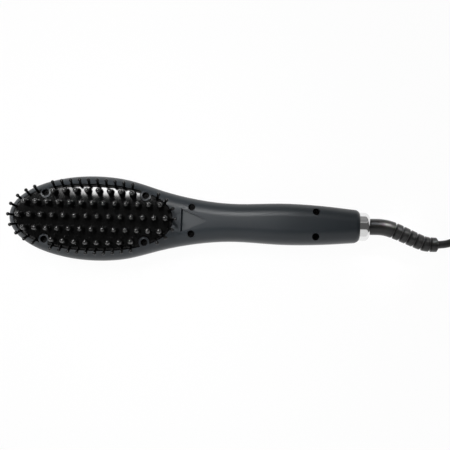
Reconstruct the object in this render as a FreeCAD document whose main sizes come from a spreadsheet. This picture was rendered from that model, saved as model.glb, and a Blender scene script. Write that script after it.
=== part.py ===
"""Heated straightening brush with a swivelling mains cord.

The brush lies on its flat back with its pins up. X runs from the head towards the cord, Z is up,
and the origin is on the resting face under the widest station of the head.
"""
import FreeCAD, Part
import math
import os
import re

Vec = FreeCAD.Vector
doc = FreeCAD.newDocument("StraighteningBrush")
sheet = doc.addObject("Spreadsheet::Sheet", "Sizes")

# Driving dimensions in millimetres and degrees, by piece
SIZES = {
    "housing": {
        "head_front": 67, "head_width": 65, "head_height": 25,
        "neck_station": 105.4, "neck_width": 29.2, "neck_height": 24.4,
        "grip_station": 145.7, "grip_width": 31.6, "grip_height": 26.4,
        "handle_end": 203.4, "end_width": 24.8, "end_height": 25,
        "top_round": 11, "back_round": 7, "end_round": 4,
        "wall": 2.4, "parting_height": 12, "fit_gap": 0.3, "overrun": 10,
    },
    "neck scoop": {
        "scoop_start": 65.4, "scoop_length": 21.2, "scoop_width": 18.2, "scoop_depth": 3.4,
        "scoop_tip_depth": 1.3, "scoop_wall_run": 1.6, "scoop_round": 1,
    },
    "housing screws": {
        "head_screw_x": 38.2, "head_screw_y": 17.9, "neck_screw_x": 73.8, "neck_screw_y": 10.3,
        "handle_screw_x": 169, "handle_screw_y": 9.6, "boss_radius": 4, "bridge_width": 6,
        "recess_radius": 2.75, "screw_seat": 19, "screw_head_radius": 2.55, "screw_head_height": 1.8,
        "screw_radius": 1.3, "screw_end": 5, "thread_gap": 0.05, "drive_width": 0.7, "drive_length": 3,
        "drive_depth": 0.9,
    },
    "heating plate": {
        "plate_length": 117, "plate_width": 46.4, "plate_shift": -1.5, "plate_crown": 25.9,
        "dome_radius": 108, "plate_base": 18, "plate_underside": 21.4, "skirt_width": 3.5,
        "notch_gap": 0.5,
    },
    "pins": {
        "pin_pitch": 8.5, "row_pitch": 9.8, "row_bow": 1.4, "pin_shift": -1, "pin_base_radius": 2.5,
        "pin_top_radius": 1.6, "pin_cone_height": 10.6, "tip_radius": 2.05,
    },
    "guard bristles": {
        "guard_gap": 2, "rim_gap": 2.5, "frame_height": 2, "frame_inner_ledge": 3.4,
        "frame_outer_ledge": 3.2, "lip_top": 23.9, "bristle_spacing": 6.7, "bristle_length": 9,
        "bristle_root_radius": 0.85, "bristle_top_radius": 0.75, "bristle_ball_radius": 1.25,
        "bristle_lean": 24, "support_rib_x": 20, "support_rib_width": 2, "support_rib_length": 10.6, "support_rib_y": 25.2,
    },
    "plate screws": {
        "plate_screw_radius": 1, "plate_screw_head_radius": 1.8, "plate_screw_head_height": 1.2,
        "plate_screw_depth": 3, "plate_screw_inset": 1.6,
    },
    "heater": {
        "heater_length": 34, "heater_width": 14, "heater_split": 2,
        "sheet_thickness": 0.5, "clamp_thickness": 1.2, "clamp_length": 88, "clamp_width": 16,
        "clamp_screw_x": 40, "clamp_boss_radius": 3, "clamp_screw_radius": 1.2,
        "clamp_screw_head_radius": 2.2, "clamp_screw_head_height": 1.5, "clamp_screw_grip": 4,
        "thermistor_radius": 1.4, "thermistor_length": 6, "sensor_x": 18, "sensor_y": 11,
        "fuse_radius": 2, "fuse_length": 10,
    },
    "control board": {
        "board_start": 79, "board_length": 81, "board_width": 20, "board_height": 10.4,
        "board_thickness": 1.6, "standoff_radius": 2.2, "standoff_inset": 3.5, "standoff_y": 7,
        "board_screw_radius": 0.9, "board_screw_head_radius": 1.9, "board_screw_head_height": 1.2,
        "board_screw_depth": 5, "triac_x": 105, "triac_length": 10, "triac_width": 4.5,
        "triac_height": 9, "capacitor_x": 135, "capacitor_radius": 4, "capacitor_height": 9,
        "lead_radius": 0.7, "sensor_lead_radius": 0.5,
    },
    "control panel": {
        "panel_start": 87, "panel_length": 62, "panel_width": 11, "panel_recess": 0.9,
        "panel_round": 4, "panel_flange": 1.2, "panel_flange_height": 1.2, "panel_gap": 0.15,
        "window_x": 96, "window_length": 14, "window_width": 7, "display_length": 18,
        "display_width": 10, "display_height": 4,
    },
    "buttons": {
        "up_x": 114, "down_x": 126, "power_x": 140, "temperature_radius": 3.4, "power_radius": 4.2,
        "button_recess": 0.4, "button_flange": 1, "button_flange_height": 1, "button_dish": 20,
        "button_dish_depth": 0.25, "switch_width": 6, "switch_height": 3.5, "switch_bore_radius": 1.9,
        "switch_bore_depth": 2.5, "plunger_radius": 1.6, "plunger_reach": 1,
    },
    "cord swivel": {
        "swivel_height": 12.5, "ring_radius": 11, "ring_length": 7.8, "ring_round": 4, "ring_seat": 2,
        "ring_bore_radius": 6.5, "bush_radius": 8.1, "bush_flange_radius": 9.5,
        "bush_flange_length": 2.4, "running_gap": 0.08, "core_radius": 5, "core_flange_radius": 7.5,
        "core_flange_length": 2.4, "core_tail_radius": 3.5, "core_tail_length": 15,
        "slip_ring_radius": 4.2, "slip_ring_width": 3, "slip_ring_spacing": 5, "slip_ring_inset": 3,
        "holder_length": 12, "holder_width": 12, "contact_width": 8, "contact_thickness": 0.6,
    },
    "strain relief": {
        "relief_gap": 0.6, "relief_radius": 6.15, "relief_core_radius": 4.6, "rib_radius": 6.1,
        "rib_end_radius": 5.3, "rib_length": 3.9,
    },
    "cord": {
        "cord_radius": 3, "coil_pitch": 8, "layer_pitch": 6.6, "coil_radius": 39.5,
        "tie_thickness": 1, "tie_width": 7, "tie_gap": 1.6, "tie_lift": 0.3,
    },
    "plug": {
        "plug_neck_radius": 4.6, "plug_neck_length": 11, "plug_length": 30, "plug_width": 35,
        "plug_thickness": 13.6, "plug_rear_width": 15, "plug_rear_thickness": 11,
        "plug_pin_radius": 2, "plug_pin_length": 19, "plug_pin_spacing": 18.6,
    },
}

# Places along the flank of the head as shares of the neck's station and of the narrowing
FLANK_SHARES = [(0.235, 0.872), (0.47, 0.486), (0.706, 0.173)]
# A place on the grip as shares of the stretch behind the grip station and of its narrowing
GRIP_SHARES = (0.575, 0.63)
# The exponent that makes the plate's outline fuller than an ellipse, and its points
PLATE_FULLNESS = 2.2
OUTLINE_POINTS = 48
# Pins in each row by the row's distance from the middle, in rows
PINS_IN_ROW = {0: 14, 1: 13, 2: 8}
# Half turns of the coil, and half turns from one climb to the next
COIL_HALF_TURNS = 18
LAYER_HALF_TURNS = 4
RELIEF_RIBS = 7
# Heading of the coil's first point and of the plug, in degrees from X
COIL_HEADING = 45
PLUG_HEADING = -155

# The strain relief's middle line and the cord's free stretches, chosen by hand
RELIEF_ROUTE = [(204, 0, 12.5), (224.5, 0, 12.5), (255.6, -12.6, 9), (265, -11.9, 8.1)]
CORD_ROUTE = [
    (265, -11.9, 8.1), (270.6, -11.483, 7.564), (276.2, -9.9, 7), (281.9, -7, 6.2),
    (287.7, -3.36, 5.3), (293.4, 1.34, 4.3), (299.4, 7.34, 4.3),
]
TAIL_ROUTE = [
    (310.714, 12.997, 24.1), (317.7, 19.983, 24.1), (327.2, 25, 26.2), (338.2, 26.2, 28.6),
    (348.8, 23.4, 30.3), (357.8, 17, 31), (364.1, 8, 31.2), (367, -2.6, 31.4), (366, -13.5, 32),
    (361.4, -23.5, 33.2), (353.6, -31.3, 34.2), (343.6, -35.9, 34.2),
]
# Wires inside the housing, one side of the middle
HEATER_LEAD_ROUTE = [(35, 4.5, 19.9), (46, 4.5, 19.4), (52.5, 4.2, 13.8), (66, 3.4, 13.3), (90, 3.9, 12.72)]
SENSOR_LEAD_ROUTE = [
    (-15, 11, 19.9), (30, 10.4, 19.8), (40, 10, 18.6), (44.5, 8.8, 14), (50, 2.5, 12.4), (60, 0, 12.6),
    (90, 0, 12.52),
]
MAINS_LEAD_ROUTE = [(181.9, 3.4, 6), (173.5, 3.4, 6), (165, 3.5, 12.9), (154, 4, 12.72)]


def fill_sheet():
    """Write every driving dimension into the sheet, each under its own name."""
    row = 1
    for piece, sizes in SIZES.items():
        sheet.set(f"A{row}", piece)
        row += 1
        for name, value in sizes.items():
            sheet.set(f"A{row}", name)
            sheet.set(f"B{row}", str(value))
            sheet.setAlias(f"B{row}", name)
            row += 1
    doc.recompute()


fill_sheet()
NAMES = {name for sizes in SIZES.values() for name in sizes}


def size(name):
    """A driving dimension, read from the sheet."""
    return float(sheet.get(name))


def sized(text):
    """An expression whose size names point at the sheet."""
    return re.sub(r"[a-z_]+", lambda word: "Sizes." * (word.group() in NAMES) + word.group(), str(text))


def bind(item, **expressions):
    """Bind properties of a document object to sizes."""
    for name, text in expressions.items():
        item.setExpression(name, sized(text))
    return item


def place(item, at, rotation=None):
    """Bind an object's place to sizes."""
    if rotation:
        item.Placement = FreeCAD.Placement(Vec(), rotation)
    for axis, text in zip("xyz", at):
        item.setExpression("Placement.Base." + axis, sized(text))
    return item


ALONG_X = FreeCAD.Rotation(Vec(0, 1, 0), 90)
ALONG_Y = FreeCAD.Rotation(Vec(1, 0, 0), -90)


def block(name, length, width, height, at):
    """A box centred in plan on a place and standing on its height."""
    item = bind(doc.addObject("Part::Box", name), Length=length, Width=width, Height=height)
    x, y, z = at
    return place(item, (f"({x}) - ({length}) / 2", f"({y}) - ({width}) / 2", z))


def rod(name, radius, height, at, rotation=None):
    """A cylinder that starts at a place."""
    item = bind(doc.addObject("Part::Cylinder", name), Radius=radius, Height=height)
    return place(item, at, rotation)


def joined(name, *items):
    """Several overlapping or touching shapes made one."""
    item = doc.addObject("Part::MultiFuse", name)
    item.Shapes = list(items)
    item.Refine = True
    return item


def less(name, base, *tools):
    """A shape with others cut out of it."""
    item = doc.addObject("Part::Cut", name)
    item.Base = base
    item.Tool = tools[0] if len(tools) == 1 else joined(name + "_tools", *tools)
    return item


def shared(name, first, second):
    """What two shapes have in common."""
    item = doc.addObject("Part::Common", name)
    item.Base = first
    item.Tool = second
    return item


def shaped(name, shape):
    """A shape that no feature gives, made from sizes read off the sheet."""
    item = doc.addObject("Part::Feature", name)
    item.Shape = shape
    item.Placement = FreeCAD.Placement()
    return item


def copies(name, item, places):
    """Separate copies of one shape, each at its placement."""
    doc.recompute()
    made = []
    for spot in places:
        copy = item.Shape.copy()
        copy.Placement = spot.multiply(copy.Placement)
        made.append(copy)
    return shaped(name, Part.makeCompound(made))


def at(x, y, z=0.0):
    return FreeCAD.Placement(Vec(x, y, z), FreeCAD.Rotation())


def set_of(name, *items):
    """Separate solids kept together as one piece."""
    item = doc.addObject("Part::Compound", name)
    item.Links = list(items)
    return item


pieces = []


def piece(item, name):
    """Name a finished piece."""
    item.Label = name
    pieces.append(item)
    return item


def curve_through(points, start, end):
    """A smooth curve through points with a direction at each end."""
    curve = Part.BSplineCurve()
    curve.interpolate(Points=points, InitialTangent=start, FinalTangent=end)
    return curve.toShape()


def flank(inset, side):
    """One side of the plan outline, from the widest station to the end of the handle."""
    neck_x, neck = size("neck_station"), size("neck_width") / 2
    grip_x, grip = size("grip_station"), size("grip_width") / 2
    end_x, end = size("handle_end") - inset, size("end_width") / 2
    head = size("head_width") / 2
    stations = [(0, head)]
    stations += [(along * neck_x, neck + across * (head - neck)) for along, across in FLANK_SHARES]
    stations += [(neck_x, neck), (grip_x, grip)]
    along, across = GRIP_SHARES
    stations += [(grip_x + along * (end_x - grip_x), end + across * (grip - end)), (end_x, end)]
    points = [Vec(x, side * (half - inset), 0) for x, half in stations]
    return curve_through(points, Vec(1, 0, 0), points[-1] - points[-2])


def nose(inset, side):
    """A quarter of the ellipse round the front of the head, from the tip to the widest station."""
    ellipse = Part.Ellipse(Vec(), size("head_front") - inset, size("head_width") / 2 - inset)
    quarter = (math.pi / 2, math.pi) if side > 0 else (math.pi, 3 * math.pi / 2)
    return Part.ArcOfEllipse(ellipse, *quarter).toShape()


def plan_solid(inset):
    """The plan outline drawn in by inset, raised past the top line."""
    left, right = flank(inset, 1), flank(inset, -1)
    end = Part.makeLine(left.valueAt(left.LastParameter), right.valueAt(right.LastParameter))
    edges = [nose(inset, 1), nose(inset, -1), left, right, end]
    face = Part.Face(Part.Wire(Part.__sortEdges__(edges)))
    face.translate(Vec(0, 0, inset))
    return face.extrude(Vec(0, 0, size("grip_height") + size("overrun")))


def side_solid(inset):
    """Everything under the top line, which dips at the neck and swells at the grip."""
    over, head = size("overrun"), size("head_height")
    stations = [(-size("head_front") - over, head), (0, head)]
    stations += [(size("neck_station"), size("neck_height")), (size("grip_station"), size("grip_height"))]
    stations += [(size("handle_end") + over, size("end_height"))]
    points = [Vec(x, -size("head_width"), height - inset) for x, height in stations]
    top = curve_through(points, Vec(1, 0, 0), points[-1] - points[-2])
    first, last = (Vec(p.x, p.y, 0) for p in (points[0], points[-1]))
    lines = [Part.makeLine(points[-1], last), Part.makeLine(last, first), Part.makeLine(first, points[0])]
    face = Part.Face(Part.Wire(Part.__sortEdges__([top, *lines])))
    return face.extrude(Vec(0, 2 * size("head_width"), 0))


def housing_form(name, inset):
    """The whole housing as one rounded solid, drawn in by inset on every side."""
    solid = plan_solid(inset).common(side_solid(inset)).Solids[0]
    end = size("handle_end") - inset - size("end_round")
    for pick, radius in ((max, size("top_round")), (min, size("back_round"))):
        face = pick(solid.Faces, key=lambda f: f.CenterOfMass.z)
        solid = solid.makeFillet(radius - inset, [e for e in face.Edges if e.BoundBox.XMin < end])
    if not inset:
        face = max(solid.Faces, key=lambda f: f.CenterOfMass.x)
        solid = solid.makeFillet(size("end_round"), face.OuterWire.Edges)
    return shaped(name, solid)


def plate_prism(name, extra, low, high):
    """A prism of the plate's outline, widened by extra, between two heights."""
    outline = plate_outline(extra)
    outline.translate(Vec(0, 0, low))
    return shaped(name, Part.Face(outline).extrude(Vec(0, 0, high - low)))


def plate_outline(extra):
    """The plate's outline, widened by extra: a curve a little fuller than an ellipse."""
    length, width = size("plate_length") / 2 + extra, size("plate_width") / 2 + extra
    points = []
    for step in range(OUTLINE_POINTS):
        turn = math.pi + 2 * math.pi * step / OUTLINE_POINTS
        along, across = math.cos(turn), math.sin(turn)
        points.append(Vec(
            size("plate_shift") + math.copysign(abs(along) ** (2 / PLATE_FULLNESS), along) * length,
            math.copysign(abs(across) ** (2 / PLATE_FULLNESS), across) * width, 0,
        ))
    curve = Part.BSplineCurve()
    curve.interpolate(Points=points, PeriodicFlag=True)
    return Part.Wire(curve.toShape())


def four_places(x, y):
    """Four places, two each side of the middle, mirrored about the head's middle."""
    return [(sx * x, sy * y) for sx in (-1, 1) for sy in (-1, 1)]


HEAD_PLACES = four_places(size("head_screw_x"), size("head_screw_y"))
NECK_PLACES = [(size("neck_screw_x"), side * size("neck_screw_y")) for side in (-1, 1)]
HANDLE_PLACES = [(size("handle_screw_x"), side * size("handle_screw_y")) for side in (-1, 1)]
SCREW_PLACES = HEAD_PLACES + NECK_PLACES + HANDLE_PLACES


def spots(places, height=0.0):
    return [at(x, y, height) for x, y in places]


# Housing halves: each is half of the outer form less a cavity that leaves its bosses standing
outer = housing_form("outer_form", 0)
inner = housing_form("inner_form", size("wall"))
loose = housing_form("loose_form", size("wall") + size("fit_gap"))
REACH = "handle_end + head_front + 2 * overrun"
MIDDLE = "(handle_end - head_front) / 2"
upper_box = block("upper_box", REACH, "2 * head_width", "2 * head_height", (MIDDLE, 0, "parting_height"))
lower_box = block("lower_box", REACH, "2 * head_width", "parting_height", (MIDDLE, 0, 0))

boss = rod("boss", "boss_radius", "2 * head_height", (0, 0, 0))
bosses = copies("bosses", boss, spots(SCREW_PLACES))
recess = rod("recess", "recess_radius", "2 * head_height", (0, 0, "screw_seat"))
recesses = copies("recesses", recess, spots(SCREW_PLACES))
shank_hole = rod("shank_hole", "screw_radius + fit_gap", "2 * head_height", (0, 0, "parting_height"))
shank_holes = copies("shank_holes", shank_hole, spots(SCREW_PLACES))
pilot_hole = rod("pilot_hole", "screw_radius + thread_gap", "parting_height", (0, 0, "screw_end"))
pilot_holes = copies("pilot_holes", pilot_hole, spots(SCREW_PLACES))
end_hole = rod(
    "end_hole", "bush_radius + thread_gap", "2 * overrun",
    ("handle_end - overrun", 0, "swivel_height"), ALONG_X,
)


def bridge_places():
    """A bridge from each head boss outwards to the rim."""
    reach = size("plate_width") / 2 - size("head_screw_y") + size("overrun")
    boxes = []
    for x, y in HEAD_PLACES:
        side = math.copysign(1, y)
        low = Vec(x - size("bridge_width") / 2, y if side > 0 else y - reach, 0)
        boxes.append(Part.makeBox(size("bridge_width"), reach, 2 * size("head_height"), low))
    return boxes


bridges = shaped("bridges", Part.makeCompound(bridge_places()))
opening_prism = plate_prism("opening_prism", size("rim_gap"), size("parting_height"), 2 * size("head_height"))
plate_opening = less("plate_opening", opening_prism, bosses, bridges)


def scoop_tool():
    """A triangle with a rounded tip, above a floor that ramps up to the tip from a leaning end wall."""
    start, length = size("scoop_start"), size("scoop_length")
    half, deep = size("scoop_width") / 2, size("scoop_depth")
    high = 2 * size("head_height")
    corners = [Vec(start, -half, 0), Vec(start + length, 0, 0), Vec(start, half, 0)]
    face = Part.Face(Part.makePolygon([*corners, corners[0]]))
    prism = face.extrude(Vec(0, 0, high))
    tip = [e for e in prism.Edges if e.BoundBox.XMin > start + length / 2 and e.BoundBox.ZLength > length]
    prism = prism.makeFillet(size("scoop_round"), tip)
    top = size("neck_height")
    ramp = [Vec(start, -half, top), Vec(start + size("scoop_wall_run"), -half, top - deep)]
    ramp += [Vec(start + length, -half, top - size("scoop_tip_depth"))]
    ramp += [Vec(start + length, -half, high), Vec(start, -half, high)]
    wedge = Part.Face(Part.makePolygon([*ramp, ramp[0]])).extrude(Vec(0, 2 * half, 0))
    return prism.common(wedge)


scoop = shaped("scoop", scoop_tool())
scoop_backing = block(
    "scoop_backing", "scoop_length", "scoop_width", "scoop_depth + wall",
    ("scoop_start + scoop_length / 2", 0, "neck_height - scoop_depth - wall"),
)
upper_cavity = less("upper_cavity", inner, bosses, scoop_backing)
upper_half = shared("upper_half", outer, upper_box)
upper_wall = less("upper_wall", upper_half, upper_cavity)
bristle_side = less(
    "bristle_side", upper_wall, plate_opening, recesses, shank_holes, end_hole, scoop,
)
piece(bristle_side, "bristle_side_shell")

# Control side: posts under the bosses, standoffs for the board, ribs that carry the guard frame
BOARD_PLACES = [
    (size("board_start") + along, side * size("standoff_y"))
    for along in (size("standoff_inset"), size("board_length") - size("standoff_inset"))
    for side in (-1, 1)
]
standoff = rod("standoff", "standoff_radius", "board_height", (0, 0, 0))
standoffs = copies("standoffs", standoff, spots(BOARD_PLACES))
board_pilot = rod(
    "board_pilot", "board_screw_radius + thread_gap", "board_height",
    (0, 0, "board_height + board_thickness - board_screw_depth - thread_gap"),
)
board_pilots = copies("board_pilots", board_pilot, spots(BOARD_PLACES))
FRAME_BASE = "(plate_base - frame_height)"
rib = block("rib", "support_rib_width", "support_rib_length", FRAME_BASE, (0, 0, 0))
ribs = copies("ribs", rib, spots(four_places(size("support_rib_x"), size("support_rib_y"))))
lower_cavity = less("lower_cavity", inner, bosses, standoffs, ribs)
lower_half = shared("lower_half", outer, lower_box)
lower_wall = less("lower_wall", lower_half, lower_cavity)
rib_stubs = less("rib_stubs", shared("loose_ribs", ribs, loose), lower_box)


def rounded_block(name, extra, low, high):
    """A block in the panel's place with rounded corners, widened by extra."""
    length, width = size("panel_length") + 2 * extra, size("panel_width") + 2 * extra
    corner = Vec(size("panel_start") - extra, -width / 2, low)
    box = Part.makeBox(length, width, high - low, corner)
    upright = [e for e in box.Edges if e.BoundBox.ZLength > (high - low) / 2]
    return shaped(name, box.makeFillet(size("panel_round") + extra, upright))


panel_opening = rounded_block("panel_opening", 0, -size("wall"), 2 * size("wall"))
ribbed_wall = joined("ribbed_wall", lower_wall, rib_stubs)
control_side = less(
    "control_side", ribbed_wall, pilot_holes, board_pilots, end_hole, panel_opening,
)
piece(control_side, "control_side_shell")


# Heating plate: a dome with a skirt, notched round the head bosses
plate_blank = plate_prism("plate_blank", 0, size("plate_base"), 2 * size("head_height"))
dome = rod(
    "dome", "dome_radius", "2 * plate_length",
    ("-plate_length", 0, "plate_crown - dome_radius"), ALONG_X,
)
plate_dome = shared("plate_dome", plate_blank, dome)
clamp_boss = rod("clamp_boss", "clamp_boss_radius", "head_height", (0, 0, 0))
CLAMP_PLACES = [(side * size("clamp_screw_x"), 0) for side in (-1, 1)]
clamp_bosses = copies("clamp_bosses", clamp_boss, spots(CLAMP_PLACES))
pocket_prism = plate_prism("pocket_prism", -size("skirt_width"), 0, size("plate_underside"))
plate_pocket = less("plate_pocket", pocket_prism, clamp_bosses)
notch = rod("notch", "boss_radius + notch_gap", "2 * head_height", (0, 0, 0))
notches = copies("notches", notch, spots(HEAD_PLACES))
clamp_pilot = rod(
    "clamp_pilot", "clamp_screw_radius + thread_gap", "clamp_screw_grip + thread_gap",
    (0, 0, "plate_base - clamp_thickness"),
)
clamp_pilots = copies("clamp_pilots", clamp_pilot, spots(CLAMP_PLACES))
PLATE_SCREW_PLACES = [
    (size("plate_shift") + side * (size("plate_length") / 2 - size("plate_screw_inset")), 0) for side in (-1, 1)
]
PLATE_SCREW_PLACES += [(0, side * (size("plate_width") / 2 - size("plate_screw_inset"))) for side in (-1, 1)]
plate_screw_hole = rod(
    "plate_screw_hole", "plate_screw_radius + thread_gap", "head_height",
    (0, 0, "plate_base + plate_screw_depth + thread_gap - head_height"),
)
plate_screw_holes = copies("plate_screw_holes", plate_screw_hole, spots(PLATE_SCREW_PLACES))
bridge_room = block(
    "bridge_room", "bridge_width + 2 * fit_gap", "4 * boss_radius", "head_height", (0, 0, "plate_base"),
)
BRIDGE_ROOM_PLACES = [(x, y + math.copysign(2 * size("boss_radius"), y)) for x, y in HEAD_PLACES]
bridge_rooms = copies("bridge_rooms", bridge_room, spots(BRIDGE_ROOM_PLACES))
heating_plate = less(
    "plate", plate_dome, plate_pocket, notches, bridge_rooms, clamp_pilots, plate_screw_holes,
)
piece(heating_plate, "heating_plate")


def dome_height(y):
    """Height of the plate's top face at a distance from its middle line."""
    return size("plate_crown") - size("dome_radius") + math.sqrt(size("dome_radius") ** 2 - y ** 2)


def pin_places():
    """Five staggered rows of pins standing on the dome, the outer two bowed in towards their ends."""
    places = []
    for row in (-2, -1, 0, 1, 2):
        count = PINS_IN_ROW[abs(row)]
        bow = size("row_bow") * row / 2 if abs(row) == 2 else 0
        for step in range(count):
            along = 2 * step / (count - 1) - 1
            x = size("pin_shift") + along * (count - 1) / 2 * size("pin_pitch")
            y = row * size("row_pitch") - bow * along ** 2
            places.append(at(x, y, dome_height(y)))
    return places


pin_cone = bind(
    doc.addObject("Part::Cone", "pin_cone"), Radius1="pin_base_radius", Radius2="pin_top_radius",
    Height="pin_cone_height",
)
pin_root = rod("pin_root", "pin_base_radius", "pin_base_radius", (0, 0, "-pin_base_radius"))
pin = joined("pin", pin_cone, pin_root)
pins = less("pins", copies("pin_copies", pin, pin_places()), dome)
piece(pins, "heated_pins")
tip = bind(
    doc.addObject("Part::Sphere", "tip"), Radius="tip_radius", Angle1="-acos(pin_top_radius / tip_radius)",
)
place(tip, (0, 0, "pin_cone_height + sqrt(tip_radius ^ 2 - pin_top_radius ^ 2)"))
piece(copies("tips", tip, pin_places()), "pin_tip_caps")

# Guard frame: a ring under the plate's edge with a lip in the gap, and bristles on the lip
frame_ring = less(
    "frame_ring",
    plate_prism(
        "ring_outside", size("guard_gap") + size("frame_outer_ledge"),
        size("plate_base") - size("frame_height"), size("plate_base"),
    ),
    plate_prism("ring_inside", -size("frame_inner_ledge"), 0, size("head_height")),
)
frame_lip = less(
    "frame_lip",
    plate_prism("lip_outside", size("guard_gap") - size("fit_gap"), size("plate_base"), size("lip_top")),
    plate_prism("lip_inside", size("fit_gap"), 0, size("head_height")),
)
frame_blank = joined("frame_blank", shared("frame_in_housing", frame_ring, loose), frame_lip)
boss_room = rod("boss_room", "boss_radius + fit_gap", "2 * head_height", (0, 0, 0))
boss_rooms = copies("boss_rooms", boss_room, spots(HEAD_PLACES))
guard_frame = less("guard_frame", frame_blank, boss_rooms, bridge_rooms, plate_screw_holes)
piece(guard_frame, "guard_bristle_frame")


def beside_bridge(point):
    """Whether a bristle would stand where a bridge crosses the gap."""
    room = size("bridge_width") / 2 + size("fit_gap") + size("bristle_root_radius")
    return any(abs(point.x - x) < room and point.y * y > 0 for x, y in HEAD_PLACES)


def bristle_places():
    """Even places along the middle of the gap, each leaning straight out from the plate."""
    outline = plate_outline(size("guard_gap") / 2)
    count = round(outline.Length / size("bristle_spacing"))
    points = outline.discretize(Number=count + 1)[:-1]
    places = []
    for step, point in enumerate(points):
        along = points[(step + 1) % count] - points[step - 1]
        lean = FreeCAD.Rotation(along, size("bristle_lean"))
        if not beside_bridge(point):
            places.append(FreeCAD.Placement(Vec(point.x, point.y, size("lip_top")), lean))
    return places


bristle_stem = bind(
    doc.addObject("Part::Cone", "bristle_stem"), Radius1="bristle_root_radius", Radius2="bristle_top_radius",
    Height="bristle_length + bristle_root_radius",
)
place(bristle_stem, (0, 0, "-bristle_root_radius"))
bristle_ball = bind(doc.addObject("Part::Sphere", "bristle_ball"), Radius="bristle_ball_radius")
place(bristle_ball, (0, 0, "bristle_length"))
bristle = joined("bristle", bristle_stem, bristle_ball)
lip_block = block("lip_block", "2 * plate_length", "2 * plate_width", "lip_top", (0, 0, 0))
bristles = less("bristles", copies("bristle_copies", bristle, bristle_places()), lip_block)
piece(bristles, "guard_bristles")


def screw(name, radius, length, head_radius, head_height, up):
    """A screw with a pan head at the origin and its shank running up or down from it."""
    shank = rod(name + "_shank", radius, length, (0, 0, 0 if up else f"-({length})"))
    head = rod(name + "_head", head_radius, head_height, (0, 0, f"-({head_height})" if up else 0))
    return joined(name, shank, head)


# Fasteners
housing_screw_blank = screw(
    "housing_screw_blank", "screw_radius", "screw_seat - screw_end", "screw_head_radius",
    "screw_head_height", False,
)
DRIVE_FLOOR = "screw_head_height - drive_depth"
drive_slot = block("drive_slot", "drive_length", "drive_width", "screw_head_height", (0, 0, DRIVE_FLOOR))
cross_slot = block("cross_slot", "drive_width", "drive_length", "screw_head_height", (0, 0, DRIVE_FLOOR))
housing_screw = less("housing_screw", housing_screw_blank, drive_slot, cross_slot)
piece(copies("screws_head", housing_screw, spots(HEAD_PLACES, size("screw_seat"))), "head_screws")
piece(copies("screws_neck", housing_screw, spots(NECK_PLACES, size("screw_seat"))), "neck_screws")
piece(copies("screws_handle", housing_screw, spots(HANDLE_PLACES, size("screw_seat"))), "handle_screws")
plate_screw = screw(
    "plate_screw", "plate_screw_radius", "frame_height + plate_screw_depth", "plate_screw_head_radius",
    "plate_screw_head_height", True,
)
FRAME_FLOOR = size("plate_base") - size("frame_height")
piece(copies("screws_plate", plate_screw, spots(PLATE_SCREW_PLACES, FRAME_FLOOR)), "plate_screws")
clamp_screw = screw(
    "clamp_screw", "clamp_screw_radius", "clamp_screw_grip", "clamp_screw_head_radius",
    "clamp_screw_head_height", True,
)
CLAMP_FLOOR = size("plate_base") - size("clamp_thickness")
piece(copies("screws_clamp", clamp_screw, spots(CLAMP_PLACES, CLAMP_FLOOR)), "clamp_screws")
board_screw = screw(
    "board_screw", "board_screw_radius", "board_screw_depth", "board_screw_head_radius",
    "board_screw_head_height", False,
)
BOARD_TOP = size("board_height") + size("board_thickness")
piece(copies("screws_board", board_screw, spots(BOARD_PLACES, BOARD_TOP)), "board_screws")

# Heater under the plate
heater_bar = block(
    "heater_bar", "heater_length", "heater_width", "plate_underside - plate_base - sheet_thickness",
    (0, 0, "plate_base + sheet_thickness"),
)
HEATER_STEP = (size("heater_length") + size("heater_split")) / 2
piece(copies("heaters", heater_bar, [at(-HEATER_STEP, 0), at(HEATER_STEP, 0)]), "heater_bars")
insulation = block(
    "insulation", "2 * heater_length + heater_split", "heater_width", "sheet_thickness",
    (0, 0, "plate_base"),
)
piece(insulation, "insulation_sheet")
clamp_bar = block(
    "clamp_bar", "clamp_length", "clamp_width", "clamp_thickness", (0, 0, "plate_base - clamp_thickness"),
)
clamp_hole = rod("clamp_hole", "clamp_screw_radius + thread_gap", "head_height", (0, 0, 0))
piece(less("clamp", clamp_bar, copies("clamp_holes", clamp_hole, spots(CLAMP_PLACES))), "heater_clamp")
thermistor = rod(
    "sensor", "thermistor_radius", "thermistor_length",
    ("-sensor_x - thermistor_length / 2", "sensor_y", "plate_underside - thermistor_radius - thread_gap"),
    ALONG_X,
)
piece(thermistor, "thermistor")
fuse = rod(
    "fuse", "fuse_radius", "fuse_length",
    ("sensor_x - fuse_length / 2", "-sensor_y", "plate_underside - fuse_radius - thread_gap"), ALONG_X,
)
piece(fuse, "thermal_fuse")

# Control board and what it carries
board_blank = block(
    "board_blank", "board_length", "board_width", "board_thickness",
    ("board_start + board_length / 2", 0, "board_height"),
)
board_hole = rod("board_hole", "board_screw_radius + thread_gap", "head_height", (0, 0, 0))
board = less("board", board_blank, copies("board_holes", board_hole, spots(BOARD_PLACES)))
piece(board, "control_board")
BOARD_FACE = "board_height + board_thickness"
piece(block("triac_block", "triac_length", "triac_width", "triac_height", ("triac_x", 0, BOARD_FACE)), "triac")
piece(rod("capacitor_can", "capacitor_radius", "capacitor_height", ("capacitor_x", 0, BOARD_FACE)), "capacitor")
display = block(
    "display", "display_length", "display_width", "display_height",
    ("window_x", 0, "board_height - display_height"),
)
piece(display, "display_module")
switch_block = block(
    "switch_block", "switch_width", "switch_width", "switch_height", (0, 0, "board_height - switch_height"),
)
switch_bore = rod(
    "switch_bore", "switch_bore_radius", "switch_bore_depth", (0, 0, "board_height - switch_height"),
)
tact_switch = less("tact_switch", switch_block, switch_bore)
BUTTON_PLACES = [(size(name), 0) for name in ("up_x", "down_x", "power_x")]
piece(copies("switches", tact_switch, spots(BUTTON_PLACES)), "tact_switches")


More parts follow.
